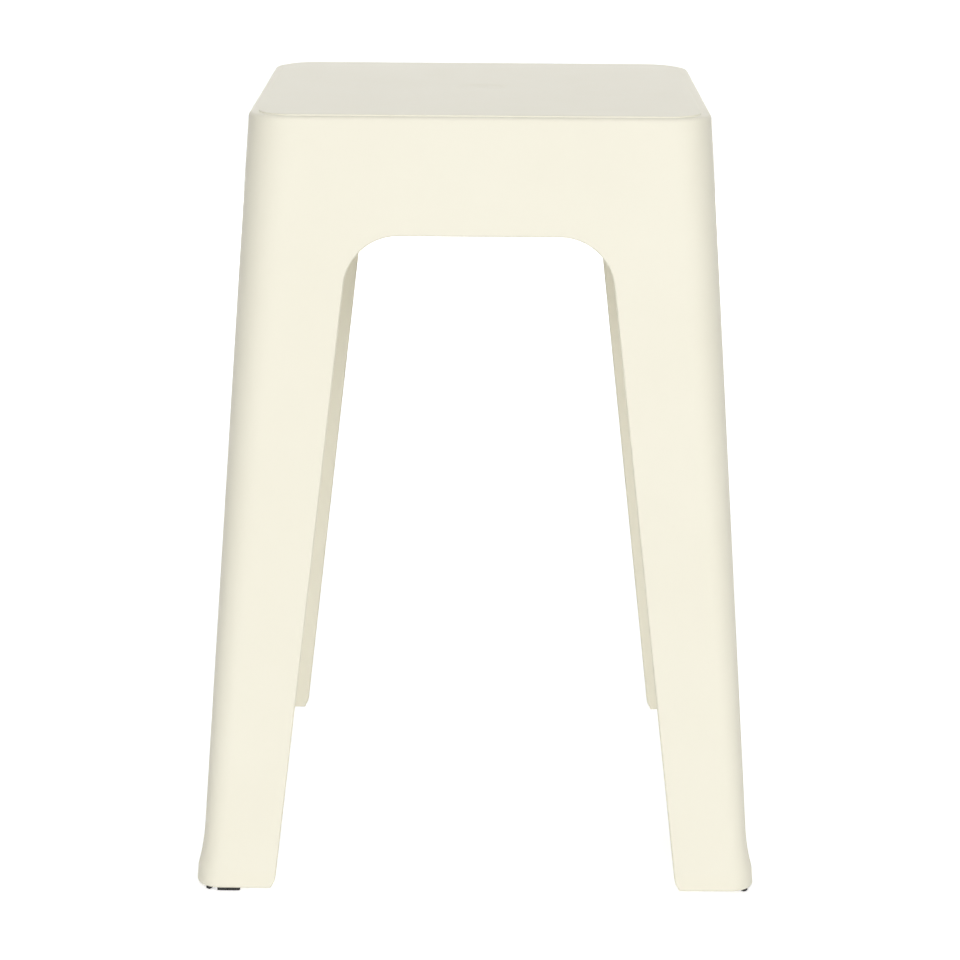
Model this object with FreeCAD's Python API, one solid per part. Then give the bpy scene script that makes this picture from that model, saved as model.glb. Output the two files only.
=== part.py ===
import FreeCAD, Part
import math
import os

# One-piece moulded stacking stool, millimetres.
# Origin on the floor under the middle of the seat, +Z up, front face towards -Y.

# Overall form: four flat drafted walls that meet in conical corners
STOOL_HEIGHT = 450.0
SEAT_WIDTH = 261.0
FOOT_WIDTH = 322.0
SEAT_CORNER_R = 26.0
FOOT_CORNER_R = 12.0
WALL = 3.0
SEAT_THICKNESS = 3.2
TOP_EDGE_R = 3.0
INNER_TOP_EDGE_R = 2.0

# Arched opening in each wall, between two legs
ARCH_HEIGHT = 383.0
ARCH_TOP_WIDTH = 146.0
ARCH_FOOT_WIDTH = 235.0
ARCH_CORNER_R = 31.0
TOE_R = 11.0
TOE_RISE = 3.4
TOE_TURN_DEG = 35.0
FREE_EDGE_R = 1.2

# Foot: the wall thickens outwards towards the sole
FLARE = 2.5
FLARE_HEIGHT = 34.0
FLARE_FULL_HEIGHT = 10.0
FLARE_STEPS = 4
SOLE_EDGE_R = 1.4

# Raised seat panel with the shallow round mark of the moulding gate
PANEL_RISE = 0.8
PANEL_INSET = 5.6
PANEL_EDGE_R = 0.5
GATE_MARK_D = 28.0
GATE_MARK_DEPTH = 0.35

# Lattice of drafted ribs under the seat
RIBS_EACH_WAY = 4
RIB_PITCH = 52.0
RIB_DEPTH = 12.0
RIB_ROOT_T = 2.4
RIB_TIP_T = 1.6

# Stacking fins: they land on the seat of the stool below
NEST_GAP = 0.4
FIN_T = 3.0
FIN_FOOT_REACH = 12.0
FIN_ROOT_REACH = 26.0

# Rubber foot pads: two treads and a thin neck, pressed into the sole by two pegs.
# Places along a pad are distances from the sole's outer side.
PAD_PROUD = 2.0
PAD_FAR_END = 26.0
NECK_FAR_END = 13.0
NECK_NEAR_END = 9.0
NECK_T = 0.6
NECK_SET_IN = 2.6
NECK_OVERLAP = 1.0
PAD_SET_IN = 1.6
PAD_INNER_GAP = 0.3
PAD_END_R = 1.2
PEG_D = 2.0
PEG_LENGTH = 4.5
PEG_GAP = 0.1
CORNER_PEG_DEG = 38.0

# Heights that follow
SOLE_Z = PAD_PROUD
RIM_Z = STOOL_HEIGHT - PANEL_RISE
SEAT_UNDER_Z = RIM_Z - SEAT_THICKNESS
DRAFT_SLOPE = (FOOT_WIDTH - SEAT_WIDTH) / 2 / STOOL_HEIGHT
DRAFT_ANGLE = math.atan(DRAFT_SLOPE)
STACK_PITCH = (WALL + NEST_GAP) / DRAFT_SLOPE
FIN_FOOT_Z = STOOL_HEIGHT - STACK_PITCH

# Flat steps that stand for each rounded edge, and stretches of each tall wall
ROUNDING_STEPS = 3
WALL_STEPS = 8

# Quarter turns of the front left foot onto each foot
FOOT_TURNS = {"front_left": 0, "front_right": 90, "rear_right": 180, "rear_left": 270}
UP = FreeCAD.Vector(0, 0, 1)


def vec(x, y, z=0.0):
    return FreeCAD.Vector(x, y, z)


def blend_by_height(at_floor, at_top, z):
    """Straight change of a size from the floor to the full height."""
    return at_floor + (at_top - at_floor) * z / STOOL_HEIGHT


def wall_half(z):
    """Half the distance across the outer wall faces, without the foot flare."""
    return blend_by_height(FOOT_WIDTH, SEAT_WIDTH, z) / 2


def wall_corner_r(z):
    return blend_by_height(FOOT_CORNER_R, SEAT_CORNER_R, z)


def arch_half(z):
    """Half the arch's width; its sides are straight lines."""
    run = (ARCH_HEIGHT - z) / ARCH_HEIGHT
    return (ARCH_TOP_WIDTH + (ARCH_FOOT_WIDTH - ARCH_TOP_WIDTH) * run) / 2


def flare_at(z):
    """Outward swell of the foot: it grows as a parabola and then stays full."""
    run = (SOLE_Z + FLARE_HEIGHT - z) / (FLARE_HEIGHT - FLARE_FULL_HEIGHT)
    return FLARE * min(max(run, 0.0), 1.0) ** 2


def outline_edges(corners):
    """Edges of a closed outline through (x, y, radius) corners, with tangent arcs."""
    count = len(corners)
    stops = []
    for i in range(count):
        x, y, radius = corners[i]
        here = vec(x, y)
        back = vec(*corners[i - 1][:2]) - here
        ahead = vec(*corners[(i + 1) % count][:2]) - here
        back.normalize()
        ahead.normalize()
        half_angle = back.getAngle(ahead) / 2
        reach = radius / math.tan(half_angle)
        bisector = back + ahead
        bisector.normalize()
        middle = here + bisector * (radius / math.sin(half_angle) - radius)
        stops.append((here + back * reach, middle, here + ahead * reach, radius))
    edges = []
    for i in range(count):
        start, middle, end, radius = stops[i]
        if radius > 0:
            edges.append(Part.Arc(start, middle, end).toShape())
        edges.append(Part.LineSegment(end, stops[(i + 1) % count][0]).toShape())
    return edges


def raised(edges, z):
    """Copies of the edges, moved up to height z."""
    copies = [edge.copy() for edge in edges]
    for copy in copies:
        copy.translate(vec(0, 0, z))
    return copies


def strip_between(edge_low, edge_high):
    """Face between two edges: a true plane between lines, a cone-like skin between arcs."""
    if edge_low.Curve.TypeId != "Part::GeomLine":
        return Part.makeRuledSurface(edge_low, edge_high)
    start_low, end_low = [vertex.Point for vertex in edge_low.Vertexes]
    start_high, end_high = [vertex.Point for vertex in edge_high.Vertexes]
    return Part.Face(Part.makePolygon([start_low, end_low, end_high, start_high, start_low]))


def skinned(loops):
    """Solid through a stack of loops that have the same edges in the same order."""
    faces = [Part.Face(Part.Wire(loops[0])), Part.Face(Part.Wire(loops[-1]))]
    for low, high in zip(loops, loops[1:]):
        faces += [strip_between(*pair) for pair in zip(low, high)]
    shell = Part.makeShell(faces)
    shell.sewShape()
    solid = Part.makeSolid(shell)
    if solid.Volume < 0:
        solid.reverse()
    return solid


def quarter_round(radius):
    """Steps (distance before the end plane, set-back from the side) of a rounded edge."""
    angles = [math.pi / 2 * i / ROUNDING_STEPS for i in range(ROUNDING_STEPS + 1)]
    return [(radius * (1 - math.sin(a)), radius * (1 - math.cos(a))) for a in angles]


def square_loop(half, radius, z):
    signs = ((-1, -1), (1, -1), (1, 1), (-1, 1))
    return raised(outline_edges([(sx * half, sy * half, radius) for sx, sy in signs]), z)


def square_prism(half, radius, z_low, z_high):
    face = Part.Face(Part.Wire(square_loop(half, radius, z_low)))
    return face.extrude(vec(0, 0, z_high - z_low))


def drafted_block(levels):
    """Solid inside the drafted walls, through (height, outward offset) levels."""
    return skinned([square_loop(wall_half(z) + out, wall_corner_r(z) + out, z) for z, out in levels])


def wall_levels(z_low, z_high, offset):
    """Levels between two heights, so that the tall corner skins stay light."""
    rise = (z_high - z_low) / WALL_STEPS
    return [(z_low + i * rise, offset) for i in range(1, WALL_STEPS)]


def outer_hull():
    """The drafted block with its flared feet, rounded sole edge and top edge."""
    levels = []
    for rise, set_back in reversed(quarter_round(SOLE_EDGE_R)):
        levels.append((SOLE_Z + rise, FLARE - set_back))
    for i in range(FLARE_STEPS + 1):
        z = SOLE_Z + FLARE_FULL_HEIGHT + i / FLARE_STEPS * (FLARE_HEIGHT - FLARE_FULL_HEIGHT)
        levels.append((z, flare_at(z)))
    levels += wall_levels(levels[-1][0], RIM_Z - TOP_EDGE_R, 0)
    for drop, set_back in quarter_round(TOP_EDGE_R):
        levels.append((RIM_Z - drop, -set_back))
    return drafted_block(levels)


def inner_block(offset, z_top):
    """The space inside the walls, offset inwards from the outer faces."""
    z_low = SOLE_Z - FLARE_HEIGHT
    return drafted_block([(z_low, -offset)] + wall_levels(z_low, z_top, -offset) + [(z_top, -offset)])


def cavity():
    z_low = SOLE_Z - FLARE_HEIGHT
    levels = [(z_low, -WALL)] + wall_levels(z_low, SEAT_UNDER_Z - INNER_TOP_EDGE_R, -WALL)
    for drop, set_back in quarter_round(INNER_TOP_EDGE_R):
        levels.append((SEAT_UNDER_Z - drop, -WALL - set_back))
    return drafted_block(levels)


def seat_panel():
    """Raised panel that follows the seat's outline, with a soft edge."""
    half = wall_half(STOOL_HEIGHT) - PANEL_INSET
    radius = SEAT_CORNER_R - PANEL_INSET
    loops = [square_loop(half, radius, RIM_Z - SEAT_THICKNESS / 2)]
    for drop, set_back in quarter_round(PANEL_EDGE_R):
        loops.append(square_loop(half - set_back, radius - set_back, STOOL_HEIGHT - drop))
    return skinned(loops)


def gate_mark():
    base = vec(0, 0, STOOL_HEIGHT - GATE_MARK_DEPTH)
    return Part.makeCylinder(GATE_MARK_D / 2, 2 * GATE_MARK_DEPTH, base)


def arch_outline(grow):
    """Arch on the leaning wall plane, X across and Y up the slope, grown outwards."""
    side_angle = math.atan2(arch_half(0) - arch_half(ARCH_HEIGHT), ARCH_HEIGHT)
    side_grow = grow / math.cos(side_angle)
    toe_z = SOLE_Z + TOE_RISE
    toe_x = arch_half(toe_z) + side_grow
    toe_drop = SOLE_Z + FLARE_FULL_HEIGHT
    run_out = toe_drop * math.tan(side_angle + math.radians(TOE_TURN_DEG))
    top_x = arch_half(ARCH_HEIGHT + grow) + side_grow
    half_outline = [
        (toe_x + run_out, toe_z - toe_drop, 0),
        (toe_x, toe_z, TOE_R - grow),
        (top_x, ARCH_HEIGHT + grow, ARCH_CORNER_R + grow),
    ]
    mirrored = [(-x, z, radius) for x, z, radius in reversed(half_outline)]
    slope = 1 / math.cos(DRAFT_ANGLE)
    return outline_edges([(x, z * slope, radius) for x, z, radius in half_outline + mirrored])


def arch_cutter():
    """Opening through the front wall, square to it, that leaves rounded free edges."""
    thickness = WALL * math.cos(DRAFT_ANGLE)
    steps = quarter_round(FREE_EDGE_R)
    levels = [(FLARE + WALL, FREE_EDGE_R)]
    levels += [(-distance, set_back) for distance, set_back in reversed(steps)]
    levels += [(distance - thickness, set_back) for distance, set_back in steps]
    levels.append((-2 * thickness, FREE_EDGE_R))
    cutter = skinned([raised(arch_outline(grow), out) for out, grow in levels])
    cutter.rotate(vec(0, 0, 0), vec(1, 0, 0), 90 - math.degrees(DRAFT_ANGLE))
    cutter.translate(vec(0, -wall_half(0), 0))
    return cutter


def lattice_rib(place):
    """One drafted rib along X at Y = place, its root just inside the seat plate."""
    root_z = SEAT_UNDER_Z + SEAT_THICKNESS / 2
    tip_z = SEAT_UNDER_Z - RIB_DEPTH
    half = wall_half(tip_z)
    section = Part.makePolygon([
        vec(-half, place - RIB_ROOT_T / 2, root_z),
        vec(-half, place + RIB_ROOT_T / 2, root_z),
        vec(-half, place + RIB_TIP_T / 2, tip_z),
        vec(-half, place - RIB_TIP_T / 2, tip_z),
        vec(-half, place - RIB_ROOT_T / 2, root_z),
    ])
    return Part.Face(section).extrude(vec(2 * half, 0, 0))


def stacking_fin(place):
    """One fin on the front wall at X = place, from the seat down to the next stool's seat."""
    root_z = SEAT_UNDER_Z + SEAT_THICKNESS / 2
    wall_y = -wall_half(FIN_FOOT_Z)
    inner_y = wall_y + WALL
    side = Part.makePolygon([
        vec(place - FIN_T / 2, wall_y, FIN_FOOT_Z),
        vec(place - FIN_T / 2, inner_y + FIN_FOOT_REACH, FIN_FOOT_Z),
        vec(place - FIN_T / 2, inner_y + FIN_ROOT_REACH, root_z),
        vec(place - FIN_T / 2, wall_y, root_z),
        vec(place - FIN_T / 2, wall_y, FIN_FOOT_Z),
    ])
    return Part.Face(side).extrude(vec(FIN_T, 0, 0))


def turned(shape, degrees):
    copy = shape.copy()
    copy.rotate(vec(0, 0, 0), UP, degrees)
    return copy


def under_seat_webs():
    """Rib lattice and stacking fins, cut to the middle of the walls that carry them."""
    places = [(i - (RIBS_EACH_WAY - 1) / 2) * RIB_PITCH for i in range(RIBS_EACH_WAY)]
    ribs = [turned(lattice_rib(place), degrees) for place in places for degrees in (0, 90)]
    outer_places = (places[0], places[-1])
    fins = [turned(stacking_fin(p), degrees) for p in outer_places for degrees in (0, 90, 180, 270)]
    webs = ribs[0].multiFuse(ribs[1:] + fins)
    return webs.common(inner_block(WALL / 2, SEAT_UNDER_Z + SEAT_THICKNESS / 4))


def sole_half():
    """Half the distance across the flared soles."""
    return wall_half(SOLE_Z) + FLARE


def sole_square(set_in, z_low):
    """Block inside the sole's outline, from z_low up to the sole."""
    corner_r = wall_corner_r(SOLE_Z) + FLARE - set_in
    return square_prism(sole_half() - set_in, corner_r, z_low, SOLE_Z)


def pad_inner_set_in():
    return WALL + FLARE - PAD_INNER_GAP


def pad_band(set_in, z_low):
    """Ring under the sole, from set_in to just short of the wall's inner face."""
    return sole_square(set_in, z_low).cut(sole_square(pad_inner_set_in(), z_low))


def along_front(near_end, far_end):
    """Space over part of the front left foot's front side, by distance from the left side."""
    size = far_end - near_end
    return Part.makeBox(size, FOOT_WIDTH / 2, SOLE_Z, vec(near_end - sole_half(), -FOOT_WIDTH, 0))


def foot_window():
    """Space over the front left foot, from the corner's diagonal along its front side."""
    start = sole_half() - PAD_FAR_END
    reach = FOOT_WIDTH
    outline = [vec(-start, -start), vec(-reach, -reach), vec(-start, -reach), vec(-start, -start)]
    return Part.Face(Part.makePolygon(outline)).extrude(vec(0, 0, SOLE_Z))


def peg_places():
    """One peg in the corner tread and one in the middle of the long tread."""
    centre_set_in = (PAD_SET_IN + pad_inner_set_in()) / 2
    middle = sole_half() - centre_set_in
    band_r = wall_corner_r(SOLE_Z) + FLARE - centre_set_in
    turn = math.radians(CORNER_PEG_DEG)
    flat = middle - band_r
    long_tread = sole_half() - (PAD_FAR_END + NECK_FAR_END) / 2
    return [
        vec(-flat - band_r * math.sin(turn), -flat - band_r * math.cos(turn), SOLE_Z),
        vec(-long_tread, -middle, SOLE_Z),
    ]


def pegs(gap):
    return [Part.makeCylinder(PEG_D / 2 + gap, PEG_LENGTH + gap, place) for place in peg_places()]


def is_pad_end(edge):
    """Upright edges at the pad's far end and on the corner's diagonal."""
    low, high = edge.Vertexes[0].Point, edge.Vertexes[-1].Point
    upright = abs(low.x - high.x) < 1e-6 and abs(low.y - high.y) < 1e-6
    far_end = abs(abs(low.x) - (sole_half() - PAD_FAR_END)) < 1e-6
    return upright and (far_end or abs(low.x - low.y) < 1e-6)


def front_left_pad():
    """Rubber strip from the corner along the front side of the sole, with its pegs."""
    strip = pad_band(PAD_SET_IN, 0).common(foot_window())
    strip = strip.makeFillet(PAD_END_R, [edge for edge in strip.Edges if is_pad_end(edge)])
    treads = strip.cut(along_front(NECK_NEAR_END, NECK_FAR_END))
    neck_space = along_front(NECK_NEAR_END - NECK_OVERLAP, NECK_FAR_END + NECK_OVERLAP)
    neck = pad_band(NECK_SET_IN, SOLE_Z - NECK_T).common(neck_space)
    return treads.fuse([neck] + pegs(0)).removeSplitter()


def stool_shell():
    shell = outer_hull().fuse(seat_panel()).cut(gate_mark())
    shell = shell.cut(cavity()).fuse(under_seat_webs())
    arch = arch_cutter()
    shell = shell.cut([turned(arch, degrees) for degrees in (0, 90, 180, 270)])
    holes = [turned(hole, degrees) for hole in pegs(PEG_GAP) for degrees in FOOT_TURNS.values()]
    return shell.cut(holes)


def single_solid(shape):
    """The one solid that a boolean's compound holds."""
    solids = shape.Solids
    if len(solids) != 1:
        raise ValueError("expected one solid, found %d" % len(solids))
    return solids[0]


def save(name, shape):
    solid = single_solid(shape)
    solid.exportStep("parts/%s.step" % name)
    print(name, "volume", round(solid.Volume, 1), "valid", solid.isValid())


os.makedirs("parts", exist_ok=True)
save("stool_shell", stool_shell())
for foot_name, foot_turn in FOOT_TURNS.items():
    save("foot_pad_" + foot_name, turned(front_left_pad(), foot_turn))
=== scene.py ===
import math

import bmesh
import bpy
import numpy as np
from mathutils import Matrix, Vector


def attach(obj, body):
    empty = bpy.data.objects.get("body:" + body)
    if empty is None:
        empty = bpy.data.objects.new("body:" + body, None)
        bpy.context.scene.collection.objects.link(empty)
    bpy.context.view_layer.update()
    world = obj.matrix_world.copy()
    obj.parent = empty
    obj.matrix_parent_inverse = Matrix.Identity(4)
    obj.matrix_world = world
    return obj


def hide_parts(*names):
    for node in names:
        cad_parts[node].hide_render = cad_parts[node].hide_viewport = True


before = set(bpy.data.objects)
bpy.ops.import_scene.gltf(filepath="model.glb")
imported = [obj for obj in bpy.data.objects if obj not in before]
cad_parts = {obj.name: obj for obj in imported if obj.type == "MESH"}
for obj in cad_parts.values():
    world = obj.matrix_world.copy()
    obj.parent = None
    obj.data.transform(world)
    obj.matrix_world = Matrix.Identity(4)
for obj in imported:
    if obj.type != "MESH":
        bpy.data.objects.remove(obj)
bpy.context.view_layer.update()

# Sizes of the stool in millimetres, as in its solids, but for a crisper edge round the top
# of the seat and a shallower gate mark
STOOL_HEIGHT = 450.0
SEAT_WIDTH = 261.0
FOOT_WIDTH = 322.0
SEAT_CORNER_R = 26.0
FOOT_CORNER_R = 12.0
WALL = 3.0
SEAT_THICKNESS = 3.2
TOP_EDGE_R = 2.2
INNER_TOP_EDGE_R = 2.0
ARCH_HEIGHT = 383.0
ARCH_TOP_WIDTH = 146.0
ARCH_FOOT_WIDTH = 235.0
ARCH_CORNER_R = 31.0
TOE_R = 11.0
TOE_RISE = 3.4
TOE_TURN = math.radians(35.0)
FREE_EDGE_R = 1.2
FLARE = 2.5
FLARE_HEIGHT = 34.0
FLARE_FULL_HEIGHT = 10.0
SOLE_EDGE_R = 1.4
PANEL_RISE = 0.8
PANEL_INSET = 5.6
GATE_MARK_R = 14.0
GATE_MARK_DEPTH = 0.2
GATE_DOT_R = 2.6
GATE_DOT_DEPTH = GATE_MARK_DEPTH + 0.08
RIBS_EACH_WAY = 4
RIB_PITCH = 52.0
RIB_DEPTH = 12.0
RIB_ROOT_T = 2.4
RIB_TIP_T = 1.6
NEST_GAP = 0.4
FIN_T = 3.0
FIN_FOOT_REACH = 12.0
FIN_ROOT_REACH = 26.0
FIN_EDGE_R = 0.45

# Places that follow from the sizes
SOLE_Z = 2.0
RIM_Z = STOOL_HEIGHT - PANEL_RISE
SEAT_UNDER_Z = RIM_Z - SEAT_THICKNESS
DRAFT_SLOPE = (FOOT_WIDTH - SEAT_WIDTH) / 2 / STOOL_HEIGHT
FIN_FOOT_Z = STOOL_HEIGHT - (WALL + NEST_GAP) / DRAFT_SLOPE
SIDE_ANGLE = math.atan((ARCH_FOOT_WIDTH - ARCH_TOP_WIDTH) / 2 / ARCH_HEIGHT)
RIB_PLACES = [RIB_PITCH * (i - (RIBS_EACH_WAY - 1) / 2) for i in range(RIBS_EACH_WAY)]
MM = 0.001

# Spacing of the shell's mesh: shares across a wall, steps round its edges and rows up it
ACROSS = (0.0, 0.03, 0.08, 0.15, 0.23, 0.31, 0.39, 0.47, 0.54, 0.60,
          0.655, 0.705, 0.75, 0.795, 0.84, 0.88, 0.92, 0.96, 1.0)
EDGE_STEPS = 5
SOLE_EDGE_STEPS = 5
RIM_STEPS = 8
INNER_RIM_STEPS = 5
FOOT_ROWS = (SOLE_Z + SOLE_EDGE_R, 4.0, 4.8, 5.8, 7.0, 8.4, 10.0, 11.8,
             13.8, 16.0, 18.5, 21.5, 25.0, 29.0, 33.0, 37.0)
LEG_ROWS = 34
LEG_ROWS_FROM = 43.0
HALF_FAN = 14
ARCH_TOP_ROWS = 8

# Heights between which the rows tilt from level to square with the leg's free edge
LEVEL_ROWS_TO = 14.0
TILTED_ROWS_FROM = 60.0

# Step up to the seat panel: distance inside the panel's edge, rise above the rim
PANEL_STEP = (
    (-1.7, 0.0), (-0.8, -0.02), (-0.3, -0.02), (-0.12, 0.0), (-0.03, 0.08), (0.01, 0.22),
    (0.04, 0.5), (0.1, 0.65), (0.2, 0.74), (0.35, 0.785), (0.7, PANEL_RISE),
)

# Loops from the panel's edge to the gate mark, as shares of the way
PANEL_SHARES = (0.05, 0.12, 0.2, 0.3, 0.4, 0.5, 0.6, 0.7, 0.8, 0.9, 0.96)

# Section of the gate mark with the small dot in its middle: radius, depth
GATE_MARK = (
    (GATE_MARK_R + 0.6, 0.0), (GATE_MARK_R + 0.3, 0.02), (GATE_MARK_R - 0.2, 0.09),
    (GATE_MARK_R - 0.7, 0.17), (GATE_MARK_R - 1.2, GATE_MARK_DEPTH), (GATE_MARK_R * 0.6, GATE_MARK_DEPTH),
    (GATE_DOT_R, GATE_MARK_DEPTH), (GATE_DOT_R - 0.4, GATE_DOT_DEPTH - 0.02), (0.001, GATE_DOT_DEPTH),
)


# Shape of the drafted walls

def wall_half(z):
    return (FOOT_WIDTH + (SEAT_WIDTH - FOOT_WIDTH) * z / STOOL_HEIGHT) / 2


def corner_r(z):
    return FOOT_CORNER_R + (SEAT_CORNER_R - FOOT_CORNER_R) * z / STOOL_HEIGHT


def flare_at(z):
    run = (SOLE_Z + FLARE_HEIGHT - z) / (FLARE_HEIGHT - FLARE_FULL_HEIGHT)
    return FLARE * np.clip(run, 0.0, 1.0) ** 2


def corner_run(z):
    """Running width from the middle of a wall round to the diagonal of its corner."""
    return wall_half(z) - corner_r(z) + corner_r(z) * math.pi / 4


def on_wall(run, z, out):
    """Points of the front wall's right half, out millimetres outside the drafted face."""
    radius = corner_r(z)
    flat = wall_half(z) - radius
    turn = np.clip((run - flat) / radius, 0.0, math.pi / 4)
    x = np.minimum(run, flat) + (radius + out) * np.sin(turn)
    y = -(flat + (radius + out) * np.cos(turn))
    return np.stack(np.broadcast_arrays(x, y, z), axis=-1)


# Free edge of the arch, from the sole to the middle of its top

def arch_half(z):
    share = (ARCH_HEIGHT - z) / ARCH_HEIGHT
    return (ARCH_TOP_WIDTH + (ARCH_FOOT_WIDTH - ARCH_TOP_WIDTH) * share) / 2


def side_edge_x(z):
    """Half width of the arch, with the toe that turns into the leg near the sole."""
    vertex_z = SOLE_Z + TOE_RISE
    reach = TOE_R * math.tan(TOE_TURN / 2)
    centre_x = arch_half(vertex_z) - reach * math.sin(SIDE_ANGLE) + TOE_R * math.cos(SIDE_ANGLE)
    centre_z = vertex_z + reach * math.cos(SIDE_ANGLE) + TOE_R * math.sin(SIDE_ANGLE)
    arc_top = centre_z - TOE_R * math.sin(SIDE_ANGLE)
    arc_low = centre_z - TOE_R * math.sin(SIDE_ANGLE + TOE_TURN)
    if z >= arc_top:
        return arch_half(z)
    if z >= arc_low:
        return centre_x - math.sqrt(TOE_R ** 2 - (centre_z - z) ** 2)
    return arch_half(vertex_z) + (vertex_z - z) * math.tan(SIDE_ANGLE + TOE_TURN)


def smooth_step(low, high, value):
    t = min(max((value - low) / (high - low), 0.0), 1.0)
    return t * t * (3 - 2 * t)


def fan_end(i, fan_z, arc_x, top):
    """Far end of row i round the arch's corner: up the wall's corner, then along its top."""
    if i <= HALF_FAN:
        z = fan_z + (top - fan_z) * i / HALF_FAN
        return (corner_run(z), z)
    share = (i - HALF_FAN) / HALF_FAN
    return (corner_run(top) + (arc_x - corner_run(top)) * share, top)


def free_edge():
    """Rows along the edge, and the number of the first row that ends at the rim. A row is its
    point (x, z), its direction into the wall, and the far ends of its line on the outer and
    on the inner side as (run, z)."""
    top_out = RIM_Z - TOP_EDGE_R
    top_in = SEAT_UNDER_Z - INNER_TOP_EDGE_R
    arc_z = ARCH_HEIGHT - ARCH_CORNER_R
    arc_x = arch_half(arc_z) - ARCH_CORNER_R / math.cos(SIDE_ANGLE)
    fan_z = arc_z + ARCH_CORNER_R * math.sin(SIDE_ANGLE)
    leg_heights = list(FOOT_ROWS) + list(np.linspace(LEG_ROWS_FROM, fan_z, LEG_ROWS))
    rows = []
    for z in leg_heights:
        angle = SIDE_ANGLE * smooth_step(LEVEL_ROWS_TO, TILTED_ROWS_FROM, z)
        end = (corner_run(z), z)
        rows.append(((side_edge_x(z), z), (math.cos(angle), math.sin(angle)), end, end))
    for i in range(1, 2 * HALF_FAN + 1):
        angle = SIDE_ANGLE + (math.pi / 2 - SIDE_ANGLE) * i / (2 * HALF_FAN)
        into = (math.cos(angle), math.sin(angle))
        point = (arc_x + ARCH_CORNER_R * into[0], arc_z + ARCH_CORNER_R * into[1])
        rows.append((point, into, *(fan_end(i, fan_z, arc_x, top) for top in (top_out, top_in))))
    for x in np.linspace(arc_x, 0.0, ARCH_TOP_ROWS + 1)[1:]:
        rows.append(((x, ARCH_HEIGHT), (0.0, 1.0), (x, top_out), (x, top_in)))
    return rows, len(leg_heights) - 1 + HALF_FAN


def profile(row):
    """Section of the wall along one row: outer face, rounded free edge, inner face."""
    point, into, end_out, end_in = (np.array(value) for value in row)
    start = point + into * FREE_EDGE_R
    section = []
    for t in reversed(ACROSS):
        run, z = start + (end_out - start) * t
        section.append((run, z, float(flare_at(z))))
    turns = [math.pi / 2 * i / EDGE_STEPS for i in range(1, EDGE_STEPS + 1)]
    for side, face, angles in ((-1, float(flare_at(point[1])), turns), (1, -WALL, turns[::-1])):
        for a in angles:
            run, z = point + into * FREE_EDGE_R * (1 - math.sin(a))
            section.append((run, z, face + side * FREE_EDGE_R * (1 - math.cos(a))))
    for t in ACROSS:
        run, z = start + (end_in - start) * t
        section.append((run, z, -WALL))
    return on_wall(*np.array(section).T)


def inward_normals(points):
    """Level directions into the material along one profile near the sole."""
    ahead = np.roll(points, -1, axis=0) - np.roll(points, 1, axis=0)
    ahead[0] = points[1] - points[0]
    ahead[-1] = points[-1] - points[-2]
    normal = np.stack([ahead[:, 1], -ahead[:, 0], np.zeros(len(points))], axis=-1)
    normal /= np.linalg.norm(normal, axis=1)[:, None]
    return normal


# Mesh builder that mirrors one eighth of the stool into the whole

class Skin:
    def __init__(self):
        self.points = []
        self.faces = []

    def grid(self, rows, outward):
        """Quads between rows of points; outward is a rough direction that the first faces."""
        rows = np.array(rows)
        base = len(self.points)
        count = rows.shape[1]
        self.points += [tuple(p) for p in rows.reshape(-1, 3)]
        quads = []
        for i in range(rows.shape[0] - 1):
            for j in range(count - 1):
                a = base + i * count + j
                quads.append((a, a + 1, a + count + 1, a + count))
        a, b, c, d = (np.array(self.points[k]) for k in quads[0])
        if np.dot(np.cross(c - a, d - b), outward) < 0:
            quads = [tuple(reversed(q)) for q in quads]
        self.faces += quads

    def mirrored(self):
        """The eight mirrored copies, as points and faces."""
        points, faces = [], []
        eighth = np.array(self.points)
        for swap in (False, True):
            for sx in (1, -1):
                for sy in (1, -1):
                    copy = eighth * np.array([sx, sy, 1])
                    flip = sx * sy < 0
                    if swap:
                        copy = copy[:, [1, 0, 2]]
                        flip = not flip
                    base = len(points)
                    points += [tuple(p) for p in copy]
                    for face in self.faces:
                        moved = tuple(base + k for k in face)
                        faces.append(tuple(reversed(moved)) if flip else moved)
        return points, faces


def walls_and_legs(skin):
    """Outer and inner faces, free edges and soles; returns the sections that end at the rim."""
    rows, first_rim_row = free_edge()
    sections = [profile(row) for row in rows]
    inwards = inward_normals(sections[0])
    outer_count = len(ACROSS) + EDGE_STEPS
    sole_rows = []
    for i in range(SOLE_EDGE_STEPS, 0, -1):
        a = math.pi / 2 * i / SOLE_EDGE_STEPS
        set_back = np.full(len(inwards), SOLE_EDGE_R * (1 - math.cos(a)))
        set_back[outer_count:] /= 2
        moved = sections[0] + inwards * set_back[:, None]
        moved[:, 2] = SOLE_Z + SOLE_EDGE_R * (1 - math.sin(a))
        # both ends stay on the corner's diagonal
        for k in (0, -1):
            level = (moved[k, 0] - moved[k, 1]) / 2
            moved[k, 0], moved[k, 1] = level, -level
        sole_rows.append(moved)
    skin.grid(sole_rows + sections, (0.0, -1.0, 0.0))
    # flat sole between the two sides of the lowest section
    lowest = sole_rows[0]
    skin.grid([lowest[:outer_count], lowest[::-1][:outer_count]], (0.0, 0.0, -1.0))
    return sections[first_rim_row:]


# Top of the seat, in loops that start at the rim's sections

def rim_places(rim_sections):
    """Places of the rim's rows as (share of the flat width, turn round the corner)."""
    z = RIM_Z - TOP_EDGE_R
    flat = wall_half(z) - corner_r(z)
    places = []
    for section in rim_sections:
        x, y = section[0][0], section[0][1]
        if x <= flat + 1e-6:
            places.append((x / flat, 0.0))
        else:
            places.append((1.0, math.atan2(x - flat, -y - flat)))
    return places


def square_loop(places, half, radius, z):
    """Part of a rounded square, level at z, with a point for each place."""
    flat = half - radius
    return [(share * flat + radius * math.sin(turn), -(flat + radius * math.cos(turn)), z)
            for share, turn in places]


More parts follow.
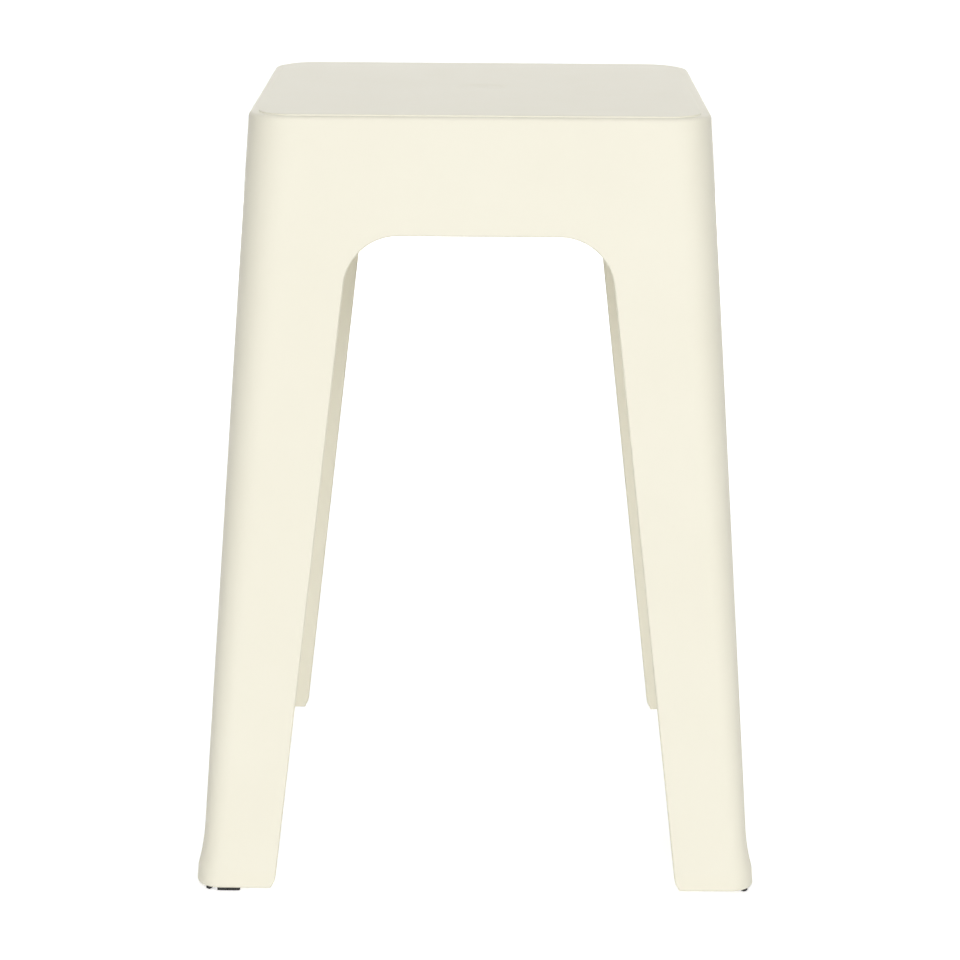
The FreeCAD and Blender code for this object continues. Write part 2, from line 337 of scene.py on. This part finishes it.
def wall_loop(places, z, set_back, lift=0.0):
    """Loop that keeps set_back inside the wall's form at height z."""
    return square_loop(places, wall_half(z) - set_back, corner_r(z) - set_back, z + lift)


def seat_top(skin, places):
    """Rounded edge, raised panel and gate mark."""
    loops = []
    for i in range(RIM_STEPS + 1):
        a = math.pi / 2 * i / RIM_STEPS
        loops.append(wall_loop(places, RIM_Z - TOP_EDGE_R * (1 - math.sin(a)), TOP_EDGE_R * (1 - math.cos(a))))
    for inside, rise in PANEL_STEP:
        inset = PANEL_INSET + inside
        loops.append(square_loop(places, wall_half(STOOL_HEIGHT) - inset, SEAT_CORNER_R - inset, RIM_Z + rise))
    panel = np.array(loops[-1])
    angles = np.array([math.atan2(x, -y) for x, y, z in panel])
    circle = np.stack([np.sin(angles), -np.cos(angles), np.zeros(len(angles))], axis=-1)
    ring = circle * GATE_MARK[0][0] + np.array([0, 0, STOOL_HEIGHT])
    for share in PANEL_SHARES:
        loops.append(panel + (ring - panel) * share)
    for radius, depth in GATE_MARK:
        loops.append(circle * radius + np.array([0, 0, STOOL_HEIGHT - depth]))
    skin.grid(loops, (0.0, -1.0, 0.3))


def inner_rim(skin, places):
    """Rounding between the walls and the seat's underside; its last loops run on into the seat."""
    loops = []
    for i in range(INNER_RIM_STEPS + 1):
        a = math.pi / 2 * i / INNER_RIM_STEPS
        z = SEAT_UNDER_Z - INNER_TOP_EDGE_R * (1 - math.sin(a))
        loops.append(wall_loop(places, z, WALL + INNER_TOP_EDGE_R * (1 - math.cos(a))))
    for further, lift in ((1.5, 0.02), (3.0, 0.3)):
        loops.append(wall_loop(places, SEAT_UNDER_Z, WALL + INNER_TOP_EDGE_R + further, lift))
    skin.grid(loops, (0.0, 1.0, 0.0))


# Underside of the seat: a sheet that dips into the crossing ribs

SHEET_HALF = wall_half(SEAT_UNDER_Z) - WALL / 2
SHEET_CORNER_R = corner_r(SEAT_UNDER_Z) - WALL / 2

# Half section of a rib: distance from its middle, dip under the seat
RIB_SECTION = (
    (RIB_ROOT_T / 2 + 0.9, 0.0), (RIB_ROOT_T / 2 + 0.35, 0.12),
    (RIB_ROOT_T / 2 + 0.08, 0.55), (RIB_ROOT_T / 2 - 0.02, 1.2),
    (RIB_TIP_T / 2 + 0.05, RIB_DEPTH - 0.6), (RIB_TIP_T / 2 - 0.03, RIB_DEPTH - 0.25),
    (RIB_TIP_T / 2 - 0.2, RIB_DEPTH - 0.07), (RIB_TIP_T / 2 - 0.45, RIB_DEPTH),
)
BAY_PLACES = (0.0, 13.0, 39.0, 52.0, 65.0, 92.0, 104.0, 116.0)
PLACES_BEFORE_WALL = (5.0, 2.5, 1.0, 0.0)


def rib_lines():
    """Stations across the ribs with the sheet's dip, from wall to wall."""
    stations = []
    for place in RIB_PLACES:
        stations += [(place + side * offset, dip) for side in (-1, 1) for offset, dip in RIB_SECTION]
    flat = list(BAY_PLACES) + [SHEET_HALF - back for back in PLACES_BEFORE_WALL]
    stations += [(place, 0.0) for place in flat]
    stations += [(-place, 0.0) for place in flat if place > 0]
    return sorted(stations)


def underside():
    """The sheet as points and faces, with its corners drawn in to the wall's."""
    points, faces = [], []
    lines = rib_lines()
    flat = SHEET_HALF - SHEET_CORNER_R
    for x, dip_x in lines:
        for y, dip_y in lines:
            place_x, place_y = x, y
            over_x, over_y = abs(x) - flat, abs(y) - flat
            if over_x > 0 and over_y > 0:
                reach = math.hypot(over_x, over_y)
                if reach > SHEET_CORNER_R:
                    place_x = math.copysign(flat + over_x * SHEET_CORNER_R / reach, x)
                    place_y = math.copysign(flat + over_y * SHEET_CORNER_R / reach, y)
            points.append((place_x, place_y, SEAT_UNDER_Z - max(dip_x, dip_y)))
    count = len(lines)
    for i in range(count - 1):
        for j in range(count - 1):
            a = i * count + j
            faces.append((a, a + 1, a + count + 1, a + count))
    return points, faces


# Meshes

def shade_smooth(mesh):
    for polygon in mesh.polygons:
        polygon.use_smooth = True


def to_mesh(name, points, faces, merge=0.002):
    """Mesh in metres from millimetre points, with coincident points merged."""
    mesh = bpy.data.meshes.new(name)
    mesh.from_pydata([(x * MM, y * MM, z * MM) for x, y, z in points], [], faces)
    work = bmesh.new()
    work.from_mesh(mesh)
    bmesh.ops.remove_doubles(work, verts=work.verts, dist=merge * MM)
    bmesh.ops.dissolve_degenerate(work, edges=work.edges, dist=merge * MM / 2)
    work.to_mesh(mesh)
    work.free()
    shade_smooth(mesh)
    return mesh


def quarter_turned(points, quarter):
    """Points turned by whole quarter turns about the stool's middle line."""
    c, s = ((1, 0), (0, 1), (-1, 0), (0, -1))[quarter]
    return [(c * x - s * y, s * x + c * y, z) for x, y, z in points]


def one_fin():
    """Bevelled stacking fin at the middle of the front wall, as points and faces."""
    foot_wall_y = -(wall_half(FIN_FOOT_Z) - WALL / 2)
    inner_y = -(wall_half(FIN_FOOT_Z) - WALL)
    top_z = SEAT_UNDER_Z + WALL / 2
    top_wall_y = -(wall_half(top_z) - WALL / 2)
    side = ((foot_wall_y, FIN_FOOT_Z), (inner_y + FIN_FOOT_REACH, FIN_FOOT_Z),
            (inner_y + FIN_ROOT_REACH, top_z), (top_wall_y, top_z))
    work = bmesh.new()
    verts = [work.verts.new((x, y, z)) for x in (-FIN_T / 2, FIN_T / 2) for y, z in side]
    count = len(side)
    work.faces.new(verts[:count])
    work.faces.new(list(reversed(verts[count:])))
    for i in range(count):
        j = (i + 1) % count
        work.faces.new((verts[i], verts[i + count], verts[j + count], verts[j]))
    bmesh.ops.recalc_face_normals(work, faces=work.faces)
    bmesh.ops.bevel(work, geom=list(work.edges), offset=FIN_EDGE_R, segments=3, profile=0.5, affect="EDGES")
    work.verts.index_update()
    points = [tuple(v.co) for v in work.verts]
    faces = [tuple(v.index for v in f.verts) for f in work.faces]
    work.free()
    return points, faces


def stacking_fins():
    """Two fins on each wall, in line with the outer ribs, as points and faces."""
    fin_points, fin_faces = one_fin()
    points, faces = [], []
    for place in (RIB_PLACES[0], RIB_PLACES[-1]):
        for quarter in range(4):
            base = len(points)
            points += quarter_turned([(x + place, y, z) for x, y, z in fin_points], quarter)
            faces += [tuple(base + k for k in face) for face in fin_faces]
    return points, faces


def build_shell():
    skin = Skin()
    places = rim_places(walls_and_legs(skin))
    seat_top(skin, places)
    inner_rim(skin, places)
    parts = (
        to_mesh("body", *skin.mirrored()),
        to_mesh("web", *underside(), merge=0.01),
        to_mesh("fins", *stacking_fins()),
    )
    work = bmesh.new()
    for part in parts:
        work.from_mesh(part)
    mesh = bpy.data.meshes.new("shell")
    work.to_mesh(mesh)
    work.free()
    shade_smooth(mesh)
    shell = bpy.data.objects.new("shell", mesh)
    bpy.context.scene.collection.objects.link(shell)
    return shell


# Rubber pads: each runs from the corner's diagonal along one side of its sole

PAD_FAR_END = 26.0
NECK_FAR_END = 13.0
NECK_NEAR_END = 9.0
NECK_T = 0.6
NECK_SET_IN = 2.6
PAD_SET_IN = 1.6
PAD_INNER_GAP = 0.3
PAD_END_R = 1.2
PAD_EDGE_R = 0.4
PAD_EDGE_LIMIT = 0.4
PAD_TOP_EDGE = 0.12
TREAD_EDGE = (0.15, 0.06, 0.12)
PAD_INNER_SET_IN = WALL + FLARE - PAD_INNER_GAP
SOLE_HALF = wall_half(SOLE_Z) + FLARE
SOLE_CORNER_R = corner_r(SOLE_Z) + FLARE
PAD_LINE_R = SOLE_CORNER_R - (PAD_SET_IN + PAD_INNER_SET_IN) / 2


def pad_place(distance, set_in):
    """Point under the front left sole; the line turns from the diagonal to the straight."""
    if distance >= SOLE_CORNER_R:
        return (distance - SOLE_HALF, -(SOLE_HALF - set_in))
    turn = (SOLE_CORNER_R - distance) / PAD_LINE_R
    flat = SOLE_HALF - SOLE_CORNER_R
    reach = SOLE_CORNER_R - set_in
    return (-flat - reach * math.sin(turn), -flat - reach * math.cos(turn))


def pad_section(distance, outer_set_in, inner_set_in, low):
    """Rounded outline across the pad at one stop, low millimetres above the floor."""
    edge = min(PAD_EDGE_R, PAD_EDGE_LIMIT * (inner_set_in - outer_set_in), PAD_EDGE_LIMIT * (SOLE_Z - low))
    section = []
    for corner_set_in, away in ((outer_set_in, 1), (inner_set_in, -1)):
        arc = []
        for i in range(4):
            a = math.pi / 2 * i / 3
            arc.append((corner_set_in + away * edge * (1 - math.cos(a)), low + edge * (1 - math.sin(a))))
        section += arc[::away]
    section += [(inner_set_in, SOLE_Z - PAD_TOP_EDGE), (inner_set_in - PAD_TOP_EDGE, SOLE_Z)]
    section += [(outer_set_in + PAD_TOP_EDGE, SOLE_Z), (outer_set_in, SOLE_Z - PAD_TOP_EDGE)]
    return [(*pad_place(distance, set_in), z) for set_in, z in section]


def pad_stops():
    """Stops along the pad: distance, outer and inner set-in, height of the underside."""
    near_end = SOLE_CORNER_R - PAD_LINE_R * math.pi / 4
    neck_near, neck_far = (SOLE_CORNER_R - PAD_LINE_R * math.asin((SOLE_CORNER_R - place) / PAD_LINE_R)
                           for place in (NECK_NEAR_END, NECK_FAR_END))
    rounding = []
    for i in range(6):
        along = PAD_END_R * (1 - math.cos(math.pi / 2 * i / 5))
        back = PAD_END_R - math.sqrt(PAD_END_R ** 2 - (PAD_END_R - along) ** 2)
        rounding.append((along, PAD_SET_IN + back, PAD_INNER_SET_IN - back, 0.0))
    edge_run, edge_back, edge_rise = TREAD_EDGE
    tread = (PAD_SET_IN, PAD_INNER_SET_IN, 0.0)
    tread_edge = (PAD_SET_IN + edge_back, PAD_INNER_SET_IN, edge_rise)
    neck = (NECK_SET_IN, PAD_INNER_SET_IN, SOLE_Z - NECK_T)
    stops = [(near_end + along, *sides) for along, *sides in rounding]
    stops += [(place, *tread) for place in np.linspace(near_end + PAD_END_R, neck_near, 5)[1:-1]]
    stops += [(neck_near - edge_run, *tread), (neck_near, *tread_edge)]
    stops += [(place, *neck) for place in np.linspace(neck_near, neck_far, 6)]
    stops += [(neck_far, *tread_edge)]
    stops += [(place, *tread) for place in np.linspace(neck_far + edge_run, PAD_FAR_END - PAD_END_R, 10)]
    stops += [(PAD_FAR_END - along, *sides) for along, *sides in rounding[-2::-1]]
    return stops


def build_pad(name, quarter):
    sections = [pad_section(*stop) for stop in pad_stops()]
    points = [point for section in sections for point in section]
    count = len(sections[0])
    faces = []
    for k in range(len(sections) - 1):
        for i in range(count):
            j = (i + 1) % count
            faces.append((k * count + i, k * count + j, (k + 1) * count + j, (k + 1) * count + i))
    for base in (0, len(points) - count):
        faces.append([base + i for i in range(count)])
    mesh = to_mesh(name, quarter_turned(points, quarter), faces)
    work = bmesh.new()
    work.from_mesh(mesh)
    bmesh.ops.recalc_face_normals(work, faces=work.faces)
    work.to_mesh(mesh)
    work.free()
    pad = bpy.data.objects.new(name, mesh)
    bpy.context.scene.collection.objects.link(pad)
    return pad


# Shader nodes

def new_material(name):
    material = bpy.data.materials.new(name)
    material.use_nodes = True
    tree = material.node_tree
    tree.nodes.clear()
    output = tree.nodes.new("ShaderNodeOutputMaterial")
    return material, tree, output


def plastic_shader(tree, output):
    shader = tree.nodes.new("ShaderNodeBsdfPrincipled")
    tree.links.new(shader.outputs["BSDF"], output.inputs["Surface"])
    return shader


def noise(tree, coordinates, scale, detail=3.0, roughness=0.5):
    made = tree.nodes.new("ShaderNodeTexNoise")
    made.inputs["Scale"].default_value = scale
    made.inputs["Detail"].default_value = detail
    made.inputs["Roughness"].default_value = roughness
    tree.links.new(coordinates, made.inputs["Vector"])
    return made.outputs["Fac"]


def ramp(tree, value, low, high, colour_low, colour_high):
    made = tree.nodes.new("ShaderNodeValToRGB")
    made.color_ramp.elements[0].position = low
    made.color_ramp.elements[1].position = high
    made.color_ramp.elements[0].color = (*colour_low, 1.0)
    made.color_ramp.elements[1].color = (*colour_high, 1.0)
    tree.links.new(value, made.inputs["Fac"])
    return made.outputs["Color"]


def spread(tree, value, low, high):
    made = tree.nodes.new("ShaderNodeMapRange")
    made.inputs["To Min"].default_value = low
    made.inputs["To Max"].default_value = high
    tree.links.new(value, made.inputs["Value"])
    return made.outputs["Result"]


def grain(tree, shader, height, strength):
    """Fine relief, a tenth of a millimetre deep at full strength."""
    bump = tree.nodes.new("ShaderNodeBump")
    bump.inputs["Strength"].default_value = strength
    bump.inputs["Distance"].default_value = 0.1 * MM
    tree.links.new(height, bump.inputs["Height"])
    tree.links.new(bump.outputs["Normal"], shader.inputs["Normal"])


def calculated(tree, operation, first, second, clamp=False):
    """Output of one math node; each side is a number or another node's output."""
    made = tree.nodes.new("ShaderNodeMath")
    made.operation = operation
    made.use_clamp = clamp
    for place, value in enumerate((first, second)):
        if isinstance(value, float):
            made.inputs[place].default_value = value
        else:
            tree.links.new(value, made.inputs[place])
    return made.outputs["Value"]


def either(tree, first, second):
    return calculated(tree, "MAXIMUM", first, second)


def seen_white(tree):
    """One for rays from the camera, in a mirror or through glass."""
    path = tree.nodes.new("ShaderNodeLightPath")
    glossy = either(tree, path.outputs["Is Camera Ray"], path.outputs["Is Glossy Ray"])
    return either(tree, glossy, path.outputs["Is Transmission Ray"])


# Materials

def shell_material():
    """Cream polypropylene: satin moulded skin with a fine grain and faint flow marks."""
    material, tree, output = new_material("cream_plastic")
    shader = plastic_shader(tree, output)
    place = tree.nodes.new("ShaderNodeTexCoord").outputs["Object"]
    cloud = noise(tree, place, 9.0, 2.0)
    colour = ramp(tree, cloud, 0.3, 0.7, (0.862, 0.829, 0.694), (0.876, 0.845, 0.713))
    tree.links.new(colour, shader.inputs["Base Color"])
    worn = noise(tree, place, 60.0, 5.0, 0.6)
    tree.links.new(spread(tree, worn, 0.40, 0.56), shader.inputs["Roughness"])
    grain(tree, shader, noise(tree, place, 2600.0, 2.0), 0.12)
    shader.inputs["IOR"].default_value = 1.48
    return material


def rubber_material():
    """Matt black rubber, faintly dusty from the floor."""
    material, tree, output = new_material("black_rubber")
    shader = plastic_shader(tree, output)
    place = tree.nodes.new("ShaderNodeTexCoord").outputs["Object"]
    dust = noise(tree, place, 700.0, 4.0, 0.65)
    colour = ramp(tree, dust, 0.42, 0.78, (0.018, 0.018, 0.019), (0.055, 0.053, 0.05))
    tree.links.new(colour, shader.inputs["Base Color"])
    tree.links.new(spread(tree, dust, 0.62, 0.86), shader.inputs["Roughness"])
    grain(tree, shader, noise(tree, place, 2200.0, 3.0), 0.35)
    return material


# Pieces

shell = build_shell()
shell.data.materials.append(shell_material())
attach(shell, "root")
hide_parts("stool_shell")

rubber = rubber_material()
for quarter, corner in enumerate(("front_left", "front_right", "rear_right", "rear_left")):
    pad = build_pad("pad_" + corner, quarter)
    pad.data.materials.append(rubber)
    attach(pad, "root")
    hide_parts("foot_pad_" + corner)


# Floor, light and camera, in metres

FLOOR_REACH = 6.0
FLOOR_Z = -0.0002
FLOOR_COLOUR = (0.9, 0.9, 0.895, 1.0)
FLOOR_WHITE = 0.5

# Broad studio lights: where they stand, how narrow they are and how bright
STUDIO_LIGHTS = (
    ((0.0, -0.906, 0.423), 4.0, 1.0),
    ((0.0, -0.707, 0.707), 4.0, 0.45),
    ((0.0, -0.985, 0.174), 2.0, 0.85),
    ((0.35, -0.9, 0.3), 4.0, 1.15),
    ((0.0, 1.0, 0.0), 2.0, 1.35),
    ((0.0, 0.866, 0.5), 4.0, 0.85),
)

# Camera of the photograph, fitted to the stool's edges; its focal length is in pixels
CAMERA_PLACE = (0.006, -1.75105, 0.66976)
CAMERA_YAW = 0.00286
CAMERA_PITCH = 0.25852
CAMERA_ROLL = 0.00658
FOCAL_PIXELS = 2920.17
PHOTO_PIXELS = 960
SENSOR_WIDTH = 36.0


def build_floor():
    """Pale floor that keeps the shadow, and is open from below, where the underside shows."""
    mesh = bpy.data.meshes.new("floor")
    corners = [(x * FLOOR_REACH, y * FLOOR_REACH, 0) for x, y in ((-1, -1), (1, -1), (1, 1), (-1, 1))]
    mesh.from_pydata(corners, [], [(0, 1, 2, 3)])
    floor = bpy.data.objects.new("floor", mesh)
    floor.location.z = FLOOR_Z
    bpy.context.scene.collection.objects.link(floor)
    material, tree, output = new_material("pale_floor")
    matt = tree.nodes.new("ShaderNodeBsdfDiffuse")
    matt.inputs["Color"].default_value = FLOOR_COLOUR
    white = tree.nodes.new("ShaderNodeEmission")
    tree.links.new(calculated(tree, "MULTIPLY", seen_white(tree), FLOOR_WHITE), white.inputs["Strength"])
    both = tree.nodes.new("ShaderNodeAddShader")
    tree.links.new(matt.outputs["BSDF"], both.inputs[0])
    tree.links.new(white.outputs["Emission"], both.inputs[1])
    below = tree.nodes.new("ShaderNodeNewGeometry")
    clear = tree.nodes.new("ShaderNodeBsdfTransparent")
    sided = tree.nodes.new("ShaderNodeMixShader")
    tree.links.new(below.outputs["Backfacing"], sided.inputs["Fac"])
    tree.links.new(both.outputs["Shader"], sided.inputs[1])
    tree.links.new(clear.outputs["BSDF"], sided.inputs[2])
    tree.links.new(sided.outputs["Shader"], output.inputs["Surface"])
    mesh.materials.append(material)


def lobe(tree, direction, aim, power, strength):
    """Soft light from one side of the studio, brightest towards aim."""
    toward = tree.nodes.new("ShaderNodeVectorMath")
    toward.operation = "DOT_PRODUCT"
    tree.links.new(direction, toward.inputs[0])
    toward.inputs[1].default_value = Vector(aim).normalized()
    facing = calculated(tree, "MULTIPLY", toward.outputs["Value"], 1.0, clamp=True)
    return calculated(tree, "MULTIPLY", calculated(tree, "POWER", facing, power), strength)


def build_world():
    """White backdrop, and light that is strongest from the front and weak from dark flags
    at both sides, which shiny surfaces show as well."""
    world = bpy.data.worlds.new("studio")
    bpy.context.scene.world = world
    world.use_nodes = True
    tree = world.node_tree
    tree.nodes.clear()
    output = tree.nodes.new("ShaderNodeOutputWorld")
    direction = tree.nodes.new("ShaderNodeTexCoord").outputs["Generated"]
    light = 0.0
    for aim, power, strength in STUDIO_LIGHTS:
        light = calculated(tree, "ADD", light, lobe(tree, direction, aim, power, strength))
    axes = tree.nodes.new("ShaderNodeSeparateXYZ")
    tree.links.new(direction, axes.inputs["Vector"])
    across = axes.outputs["X"]
    flags = calculated(tree, "SUBTRACT", 1.0, calculated(tree, "MULTIPLY", across, across))
    path = tree.nodes.new("ShaderNodeLightPath")
    shiny = either(tree, path.outputs["Is Glossy Ray"], path.outputs["Is Transmission Ray"])
    mirrored = calculated(tree, "MULTIPLY", shiny, flags)
    light = calculated(tree, "MULTIPLY", light, flags)
    plain = calculated(tree, "MULTIPLY", calculated(tree, "SUBTRACT", 1.0, shiny), light)
    seen = either(tree, path.outputs["Is Camera Ray"], either(tree, mirrored, plain))
    sky = tree.nodes.new("ShaderNodeBackground")
    sky.inputs["Color"].default_value = (1.0, 1.0, 1.0, 1.0)
    tree.links.new(seen, sky.inputs["Strength"])
    tree.links.new(sky.outputs["Background"], output.inputs["Surface"])


def softbox(name, place, target, size, power):
    lamp = bpy.data.lights.new(name, "AREA")
    lamp.shape = "RECTANGLE"
    lamp.size, lamp.size_y = size
    lamp.energy = power
    lamp_object = bpy.data.objects.new(name, lamp)
    lamp_object.location = place
    lamp_object.rotation_euler = (Vector(target) - Vector(place)).to_track_quat("-Z", "Y").to_euler()
    bpy.context.scene.collection.objects.link(lamp_object)


def build_camera():
    yaw, pitch, roll = CAMERA_YAW, CAMERA_PITCH, CAMERA_ROLL
    forward = Vector((-math.sin(yaw) * math.cos(pitch), math.cos(yaw) * math.cos(pitch), -math.sin(pitch)))
    level = Vector((math.cos(yaw), math.sin(yaw), 0.0))
    up = level.cross(forward)
    right = level * math.cos(roll) + up * math.sin(roll)
    top = up * math.cos(roll) - level * math.sin(roll)
    camera = bpy.data.cameras.new("camera")
    camera.sensor_width = SENSOR_WIDTH
    camera.lens = FOCAL_PIXELS / PHOTO_PIXELS * SENSOR_WIDTH
    camera.clip_end = 50.0
    camera_object = bpy.data.objects.new("camera", camera)
    turn = Matrix((right, top, -forward)).transposed().to_4x4()
    camera_object.matrix_world = Matrix.Translation(CAMERA_PLACE) @ turn
    bpy.context.scene.collection.objects.link(camera_object)
    bpy.context.scene.camera = camera_object


build_floor()
build_world()
softbox("rear_softbox", place=(0.0, 2.4, 0.4), target=(0.0, 0.0, 0.2), size=(2.4, 0.7), power=14.0)
build_camera()
bpy.context.scene.view_settings.view_transform = "Standard"
